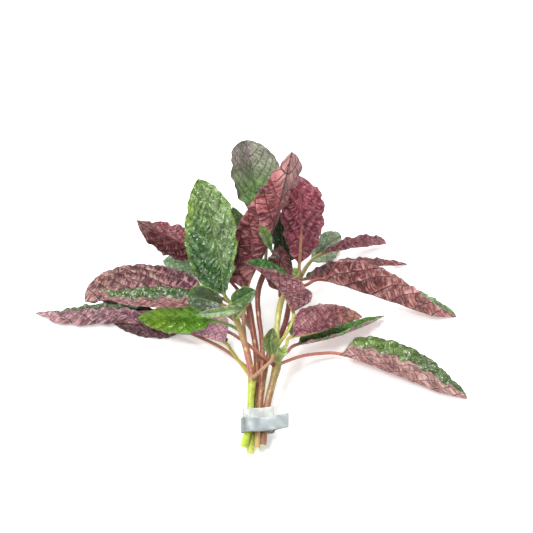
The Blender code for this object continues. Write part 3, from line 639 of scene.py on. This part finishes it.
def leaf_finish(name, look):
    """A leaf's finish: both sides' colours, veins, patches, gloss, painted sheen, glints and shade."""
    finish = bpy.data.materials.new(name)
    finish.use_nodes = True
    tree = finish.node_tree
    shader = tree.nodes["Principled BSDF"]
    masks = tree.nodes.new("ShaderNodeGroup")
    masks.node_tree = veins_group
    mask = masks.outputs
    blotch = speckle(tree, 130, 2)
    grain = speckle(tree, 520, 3)
    speck = speckle(tree, 1300, 1)
    fold = mask["Fold"]
    from_base = slope(tree, calc(tree, "MULTIPLY_ADD", calc(tree, "SUBTRACT", blotch, 0.5), 0.5,
        mask["Share"]), 0.05, 0.95)

    def patched(colour, side):
        for on, share, share_spread, across, across_spread, patch, amount in look["patches"]:
            if on != side:
                continue
            down = calc(tree, "DIVIDE", calc(tree, "SUBTRACT", mask["Share"], share), share_spread)
            over = calc(tree, "DIVIDE", calc(tree, "SUBTRACT", mask["Across"], across), across_spread)
            far = calc(tree, "ADD", calc(tree, "MULTIPLY", down, down), calc(tree, "MULTIPLY", over, over))
            far = calc(tree, "ADD", far, calc(tree, "MULTIPLY", calc(tree, "SUBTRACT", blotch, 0.5), 1.2))
            colour = mix_colours(tree, slope(tree, far, 1.15, 0.25, 0, amount), colour, tint(*patch))
        return colour

    lines = calc(tree, "MAXIMUM", mask["Vein"], calc(tree, "MULTIPLY", mask["Rung"], look["rungs"]))
    rim = calc(tree, "MULTIPLY", slope(tree, mask["Edge"], 1 - look["rim_width"], 0.99),
        slope(tree, blotch, 0.30, 0.5, 0.55, 1))
    upper = mix_colours(tree, from_base, tint(*look["upper"][0]), tint(*look["upper"][1]))
    upper = patched(upper, 1)
    dark = tint(*[0.5 * c for c in look["upper"][0]])
    # Painted shade: the vein grooves (low relief) and the fold noise's wrinkles are darkened. The random
    # blotches and cells are the leaf's own tone.
    upper = mix_colours(tree, slope(tree, mask["Relief"], 0.26, 0.02, 0, 0.7), upper, dark)
    upper = mix_colours(tree, slope(tree, blotch, 0.48, 0.34, 0, 0.5), upper, dark)
    upper = mix_colours(tree, slope(tree, mask["Cell"], 0, 1, 0, 0.45), upper, dark)
    upper = mix_colours(tree, slope(tree, fold, 0.47, 0.34, 0, 0.6), upper, dark)
    # Painted sheen on the raised cell crests, then painted white glints on the wrinkles.
    pale = tint(*[120 + 0.45 * c for c in look["upper"][1]])
    shine = calc(tree, "MULTIPLY", slope(tree, mask["Relief"], 0.25, 0.8), slope(tree, grain, 0.42, 0.60))
    upper = mix_colours(tree, calc(tree, "MULTIPLY", shine, look["painted_sheen_and_glints"] * 0.32), upper, pale)
    glint = calc(tree, "MULTIPLY", slope(tree, fold, 0.50, 0.60), slope(tree, speck, 0.58, 0.64))
    upper = mix_colours(tree, calc(tree, "MULTIPLY", glint, look["painted_sheen_and_glints"]), upper, tint(232, 240, 228))
    upper = mix_colours(tree, calc(tree, "MULTIPLY", lines, 0.30), upper, tint(*look["upper_vein"]))
    upper = mix_colours(tree, calc(tree, "MULTIPLY", mask["Rib"], 0.45), upper, tint(*look["upper_vein"]))
    upper = mix_colours(tree, calc(tree, "MULTIPLY", rim, 0.8), upper, tint(*look["rim"]))

    under = mix_colours(tree, from_base, tint(*look["under"][0]), tint(*look["under"][1]))
    under = patched(under, 0)
    sheen = min(look["waffle"], 1) ** 1.7
    deep = tint(*[0.52 * c for c in look["under"][0]])
    rosy = tint(*[90 + 0.78 * c for c in look["under"][1]])
    under = mix_colours(tree, slope(tree, blotch, 0.48, 0.34, 0, 0.55), under, deep)
    under = mix_colours(tree, slope(tree, blotch, 0.52, 0.68, 0, 0.5), under, rosy)
    under = mix_colours(tree, slope(tree, mask["Cell"], 0, 1, 0, 0.4), under, deep)
    # Painted shade and painted highlight: the fold noise's wrinkles turn darker on one flank and pinker on
    # the other.
    under = mix_colours(tree, slope(tree, fold, 0.50, 0.38, 0, 0.7 * sheen), under, deep)
    under = mix_colours(tree, slope(tree, fold, 0.52, 0.64, 0, 0.7 * sheen), under, rosy)
    under = mix_colours(tree, slope(tree, mask["Relief"], 0.26, 0.02, 0, 0.5), under, deep)
    # A painted pink highlight on the shoulders beside the veins.
    under = mix_colours(tree, calc(tree, "MULTIPLY", mask["Beside"], slope(tree, grain, 0.46, 0.6, 0, 0.35)),
        under, rosy)
    under = mix_colours(tree, calc(tree, "MULTIPLY", lines, 0.92), under, tint(*look["vein"]))
    rib = mix_colours(tree, slope(tree, mask["Share"], *look["rib"]), tint(*look["stalk"]),
        tint(*look["vein"]))
    under = mix_colours(tree, calc(tree, "MULTIPLY", mask["Rib"], 0.85), under, rib)
    under = mix_colours(tree, calc(tree, "MULTIPLY", rim, 0.3), under, rosy)

    stalk = mix_colours(tree, slope(tree, grain, 0.35, 0.65, 0, 0.35), tint(*look["stalk"]),
        tint(*[0.8 * c for c in look["stalk"]]))
    colour = mix_colours(tree, mask["Side"], under, upper)
    colour = mix_colours(tree, mask["Stalk"], colour, stalk)
    tree.links.new(colour, shader.inputs["Base Color"])

    gloss = look["gloss"]
    rough_above = slope(tree, grain, 0.3, 0.7, 0.42 - 0.16 * gloss, 0.54 - 0.18 * gloss)
    rough_below = slope(tree, grain, 0.3, 0.7, 0.30, 0.46)
    rough = add_node(tree, "Mix", {"data_type": "FLOAT"}, {0: mask["Side"], 2: rough_below, 3: rough_above})
    tree.links.new(rough.outputs[0], shader.inputs["Roughness"])
    coat = calc(tree, "MULTIPLY", mask["Side"],
        calc(tree, "MULTIPLY", slope(tree, grain, 0.42, 0.6), gloss * 0.9))
    tree.links.new(coat, shader.inputs["Coat Weight"])
    shader.inputs["Coat Roughness"].default_value = 0.12
    shader.inputs["Specular IOR Level"].default_value = 0.5
    height = calc(tree, "ADD", calc(tree, "MULTIPLY", mask["Net"], 0.15), calc(tree, "MULTIPLY", grain, 0.5))
    height = calc(tree, "ADD", height, calc(tree, "MULTIPLY", fold,
        1.3 * look["waffle"] - 0.1))
    raised = calc(tree, "MULTIPLY", lines, calc(tree, "MULTIPLY_ADD", mask["Side"], -1.1, 0.6))
    height = calc(tree, "ADD", height, raised)
    bump = add_node(tree, "Bump", None, {"Strength": 1.0, "Distance": 0.0009, "Height": height})
    tree.links.new(bump.outputs[0], shader.inputs["Normal"])
    return finish


def half_width(share, shape):
    """Half the blade's width at a share of its length, where the widest place is 1.

    It rises as share^p from the base and falls as (1 - share)^q to the tip.
    """
    widest = shape[0] / (shape[0] + shape[1])
    return (share / widest) ** shape[0] * ((1 - share) / (1 - widest)) ** shape[1]


def quilt(s, x, length, shift):
    """Vein coordinates and relief of a blade at s mm along and x mm across its midrib.

    Side veins are the curves s = 0.5|x| + 0.075x^2 + k d, and cross veins the curves at
    right angles to them, s + ln(1 + 0.3|x|)/0.15, both bent by slow waves. Relief is 0 on
    a vein and up to 1 mid-cell, each cell with a height of its own.
    """
    out = np.abs(x)
    spacing = np.clip(length / 6.2, 4.2, 12.0)
    rung = np.clip(length / 17, 2.2, 4.3)
    v = (s - 0.5 * out - 0.075 * x**2) / spacing + shift
    v = v + 0.07 * np.sin(0.31 * x + 0.13 * s + 5 * shift) + 0.05 * np.sin(0.29 * s - 0.47 * x + 9 * shift)
    w = (s + np.log1p(0.3 * out) / 0.15) / rung + shift
    w = w + 0.13 * np.sin(0.45 * s + 0.5 * x + 7 * shift) + 0.08 * np.sin(0.9 * s - 0.4 * x + 3 * shift)
    shifted = w + 0.618034 * np.floor(v)
    ridge = np.abs(np.sin(math.pi * v)) ** 0.7
    cell = np.abs(np.sin(math.pi * shifted)) ** 0.65
    number = np.floor(v) * 12.9898 + np.floor(shifted) * 78.233
    own = 0.55 + 0.45 * np.modf(np.abs(np.sin(number)) * 437.5)[0]
    crinkle = np.sin(2.9 * s + 1.9 * np.sin(1.3 * x)) * np.sin(3.3 * x + 1.7 * np.sin(1.1 * s))
    return v, w, 0.36 * ridge + ridge * cell * (0.60 * own + 0.16 * crinkle)


def leaf_piece(name, leaf, look, shift):
    """A leaf's skin: a stalk of round rings that open into a folded, quilted, toothed blade.

    Across the blade the angle is fold(1 - e^(-r/0.06)) + curl r at a share r of its half
    width, and the place is the running sum of that angle's cosine (out) and sine (up).
    """
    petiole, midrib, width, roll, fold, curl, shape = leaf
    widths = width if isinstance(width, tuple) else (width, width)
    shapes = shape if isinstance(shape[0], tuple) else (shape, shape)
    points = place(petiole + midrib)
    length = run_of(points[len(petiole):])[-1] / MM
    blade_steps = int(np.clip(length / 0.62, 26, 128))
    stalk_steps = 5 * len(petiole)
    fine = 8 * blade_steps
    line = smooth_line(points, [(len(petiole), stalk_steps), (len(midrib) - 1, fine)])
    even = np.linspace(0, 1, blade_steps + 1)
    spread = np.rint((0.6 * even + 0.2 * (1 - np.cos(math.pi * even))) * fine).astype(int)
    line = np.vstack([line[:stalk_steps], line[stalk_steps:][spread]])
    share = np.append(np.linspace(-0.4, -0.01, stalk_steps), spread / fine)

    blade_line = line[stalk_steps:]
    along = unit(np.gradient(blade_line, axis=0))
    facing = unit(TOWARD_VIEW - along * (along @ TOWARD_VIEW)[:, None])
    turn = np.radians(roll[0] + (roll[1] - roll[0]) * share[stalk_steps:])[:, None]
    normal = facing * np.cos(turn) + np.cross(along, facing) * np.sin(turn)
    back_along, back_normal, _ = carried_frames(line[stalk_steps::-1], normal[0])
    along = np.vstack([-back_along[:0:-1], along])
    normal = np.vstack([back_normal[:0:-1], normal])
    side = np.cross(along, normal)

    columns = int(np.clip(2 * max(widths) / 0.42, 22, 76)) // 2 * 2
    u = np.linspace(-1, 1, columns + 1)
    r, hand = np.abs(u), np.sign(u)
    lean = np.where(u < 0, fold[0], fold[1]) * (1 - np.exp(-r / 0.06)) + np.where(u < 0, *curl) * r
    lean = np.radians(lean)
    middle = columns // 2
    step = u[1] - u[0]
    out = np.append(0, np.cumsum((np.cos(lean[1:]) + np.cos(lean[:-1])) / 2)) * step
    rise = np.append(0, np.cumsum(hand[1:] * np.sin(lean[1:]) + hand[:-1] * np.sin(lean[:-1]))) * step / 2
    out, rise = out - out[middle], rise - rise[middle]

    s = (np.clip(share, 0, 1) * length)[:, None]
    left, right = [w * half_width(np.clip(share, 0, 1), form)[:, None] for w, form in zip(widths, shapes)]
    half = np.maximum(np.where(u < 0, left, right), 0.25)
    margin = r**4 * np.clip(half / 5, 0, 1)
    teeth = 0.55 * (np.abs(np.sin(math.pi * s / 3.3 + shift + 0.4 * hand)) ** 0.6 - 0.65)
    reach = half + teeth * margin
    x = u * reach
    v, w, relief = quilt(s, x, length, shift)
    ends = np.clip(np.minimum(share, 1 - share) / 0.12, 0, 1)[:, None]
    depth = look["waffle"] * np.clip(half / 11, 0.3, 1) * 1.4
    lift = depth * relief * ends * (1 - np.exp(-(x / 1.1) ** 2)) * (1 - 0.7 * r**6)
    wave = np.sin(2 * math.pi * s / 9.5 + 2.1 * hand + shift) + 0.6 * np.sin(2 * math.pi * s / 5.3 + shift)
    lift += 0.75 * wave * r**3 * np.clip(half / 9, 0, 1) * ends
    lift += 0.35 * np.sin(s / 7.5 + 3 * shift) * np.sin(0.21 * x + shift) * ends
    lobes = 0.6 + 0.6 * np.sin(2 * math.pi * s / 12.5 + 4 * shift) + 0.3 * np.sin(2 * math.pi * s / 6.7)
    lift -= look["keel"] * lobes * np.exp(-(x / 3.0) ** 2) * ends
    groove = 0.35 * (1 - share[:, None]) * np.exp(-(x / 0.5) ** 2)
    ridge = 0.55 * (1 - 0.8 * share[:, None]) * np.exp(-(x / 0.6) ** 2)
    thin = 0.16 * np.sqrt(1 - r**8) + 0.02

    tilt = normal[:, None] * np.cos(lean)[:, None] - side[:, None] * (hand * np.sin(lean))[:, None]
    surface = line[:, None] + (side[:, None] * (out * reach)[..., None]
        + normal[:, None] * (rise * reach)[..., None]) * MM
    surface[..., 2] = np.maximum(surface[..., 2], 0.45 * MM)
    above = surface + tilt * ((lift + thin - groove) * MM)[..., None]
    below = surface + tilt * ((lift - thin - ridge) * MM)[..., None]

    run_mm = run_of(line)[:, None] / MM
    radius = 0.8 * MM * (1 + 0.45 * np.exp(-run_mm / 1.2))
    round_out, round_up = np.sin(math.pi * u / 2), np.cos(math.pi * u / 2)
    across = side[:, None] * (round_out * radius)[..., None]
    arch = normal[:, None] * (round_up * radius)[..., None]
    flat = np.clip(share / 0.07, 0, 1)[:, None, None]
    flat = flat * flat * (3 - 2 * flat)
    above = (line[:, None] + across + arch) * (1 - flat) + above * flat
    below = (line[:, None] + across - arch) * (1 - flat) + below * flat
    grid = np.concatenate([above, below[:, -2:0:-1]], axis=1)
    grid[..., 2] = np.maximum(grid[..., 2], 0.05 * MM)

    def both_sides(value):
        value = np.broadcast_to(value, x.shape)
        return np.concatenate([value, value[:, -2:0:-1]], axis=1)

    upper_side = np.append(np.ones(columns + 1), np.zeros(columns - 1))
    upper_side[[0, columns]] = 0.5
    veins = np.stack([both_sides(v), both_sides(w), np.broadcast_to(upper_side, grid.shape[:2])], axis=-1)
    blade = np.stack([both_sides(share[:, None]), both_sides(u), both_sides(np.abs(x))], axis=-1)
    marks = {"veins": veins, "blade": blade, "relief": both_sides(relief)}
    piece = skin(name + "_blade", grid, leaf_finish(name, look), marks)
    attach(piece, "root")
    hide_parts(name)
    return piece


for number, (leaf_name, leaf_form) in enumerate(LEAVES.items()):
    leaf = leaf_piece(leaf_name, leaf_form, LEAF_LOOKS[leaf_name], 0.37 * number)


# Tie
# A band of white packing foam goes round the stems, and a soft grey metal strip is bent
# round it and pressed together into a flat tail on the right.

# The tie's path round the stems, in mm: across, up and along the stems, from the end of its
# tail round the stems and back under the tail.
TIE_PATH = [
    (14.1, 7.2, 1.6), (10.5, 6.2, 1.1), (6.5, 5.4, 0.5), (2, 5.0, 0), (-2.5, 4.9, 0),
    (-5.8, 3.8, 0), (-7.1, 0.8, 0), (-6.7, -2.4, 0), (-4.4, -4.6, 0), (0, -5.0, 0), (4, -4.9, 0),
    (6.6, -3.6, 0), (7.6, -0.5, 0.1), (7.8, 2.4, 0.3), (8.5, 4.6, 0.7), (10.5, 5.3, 1.1),
    (14.1, 6.3, 1.6),
]
TIE_SLOPE = math.radians(28)


def tie_grid(inset, thickness, near, far, trim, uneven):
    """A flat strip bent along the tie's path, its section a rectangle with round edges.

    Round the section the point is (sign(cos a)|cos a|^0.35, sign(sin a)|sin a|^0.35), so
    the sides are flat and the corners soft. `uneven` mm of slow waves dent the strip.
    """
    middle = place([(256.9, 425, 9)])[0]
    up = np.array([0, -math.sin(TIE_SLOPE), math.cos(TIE_SLOPE)])
    along_stems = np.array([0, math.cos(TIE_SLOPE), math.sin(TIE_SLOPE)])
    path = np.array(TIE_PATH)
    line = smooth_line(path, [(len(path) - 1, 240)])
    line = line[6 * trim:len(line) - 6 * trim]
    ahead = unit(np.gradient(line[:, :2], axis=0))
    inward = np.column_stack([ahead[:, 1], -ahead[:, 0]])
    inward *= np.sign(-(inward * line[:, :2]).sum(axis=1).mean())
    a = 2 * math.pi * np.arange(64) / 64
    wide = np.sign(np.cos(a)) * np.abs(np.cos(a)) ** 0.35
    thick = np.sign(np.sin(a)) * np.abs(np.sin(a)) ** 0.35
    run = run_of(line)[:, None]
    edge = (near + far) / 2 + wide * (far - near) / 2 + line[:, 2:]
    edge = edge + uneven * 0.6 * np.sin(run / 3.7 + np.sign(wide)) * np.abs(wide) ** 3
    depth = inset - thick * thickness / 2
    depth = depth + uneven * (0.5 * np.sin(run / 2.3 + 0.6 * edge) + 0.3 * np.sin(run / 1.1 - 1.3 * edge))
    across = line[:, :1] + inward[:, :1] * depth
    lift = line[:, 1:2] + inward[:, 1:2] * depth
    return middle + (across[..., None] * np.array([1, 0, 0]) + lift[..., None] * up
        + edge[..., None] * along_stems) * MM


def strip_finish():
    """Soft dull metal: mottled pale grey, brushed lengthwise, with small dents."""
    finish = bpy.data.materials.new("soft metal strip")
    finish.use_nodes = True
    tree = finish.node_tree
    shader = tree.nodes["Principled BSDF"]
    mottle = speckle(tree, 240, 4, 0.6)
    scratch_place = add_node(tree, "Mapping", None, {"Vector": add_node(tree, "TexCoord").outputs["Object"],
        "Scale": (0.12, 1.0, 1.0)}).outputs[0]
    scratch = add_node(tree, "TexNoise", None, {"Vector": scratch_place,
        "Scale": 2600.0, "Detail": 2.0}).outputs["Fac"]
    colour = mix_colours(tree, slope(tree, mottle, 0.30, 0.70), tint(118, 125, 128), tint(136, 142, 141))
    colour = mix_colours(tree, slope(tree, scratch, 0.55, 0.75, 0, 0.25), colour, tint(164, 172, 175))
    tree.links.new(colour, shader.inputs["Base Color"])
    tree.links.new(slope(tree, mottle, 0.3, 0.7, 0.34, 0.52), shader.inputs["Roughness"])
    shader.inputs["Metallic"].default_value = 0.45
    height = calc(tree, "ADD", mottle, calc(tree, "MULTIPLY", scratch, 0.25))
    bump = add_node(tree, "Bump", None, {"Strength": 0.3, "Distance": 0.0003, "Height": height})
    tree.links.new(bump.outputs[0], shader.inputs["Normal"])
    return finish


def foam_finish():
    """White packing foam: fine closed cells that show as shallow pits."""
    finish = bpy.data.materials.new("white foam")
    finish.use_nodes = True
    tree = finish.node_tree
    shader = tree.nodes["Principled BSDF"]
    where = add_node(tree, "TexCoord").outputs["Object"]
    cells = add_node(tree, "TexVoronoi", None, {"Vector": where, "Scale": 2200.0}).outputs["Distance"]
    mottle = speckle(tree, 300, 3)
    colour = mix_colours(tree, slope(tree, mottle, 0.35, 0.65), tint(170, 174, 168), tint(204, 207, 201))
    colour = mix_colours(tree, slope(tree, cells, 0.35, 0.7, 0, 0.5), colour, tint(140, 146, 142))
    tree.links.new(colour, shader.inputs["Base Color"])
    tree.links.new(slope(tree, mottle, 0.3, 0.7, 0.6, 0.78), shader.inputs["Roughness"])
    height = calc(tree, "ADD", mottle, calc(tree, "MULTIPLY", cells, 0.6))
    bump = add_node(tree, "Bump", None, {"Strength": 0.55, "Distance": 0.0004, "Height": height})
    tree.links.new(bump.outputs[0], shader.inputs["Normal"])
    return finish


strip = skin("tie_strip_band", tie_grid(0, 0.5, -3.4, 3.0, 0, 0.10), strip_finish(), {})
foam = skin("tie_foam_band", tie_grid(0.85, 0.6, -3.0, 7.2, 5, 0.06), foam_finish(), {})
for band, tie_node, tie_slot in ((strip, "tie_strip", "tie_metal"), (foam, "tie_foam", "tie_foam")):
    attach(band, "root")
    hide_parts(tie_node)
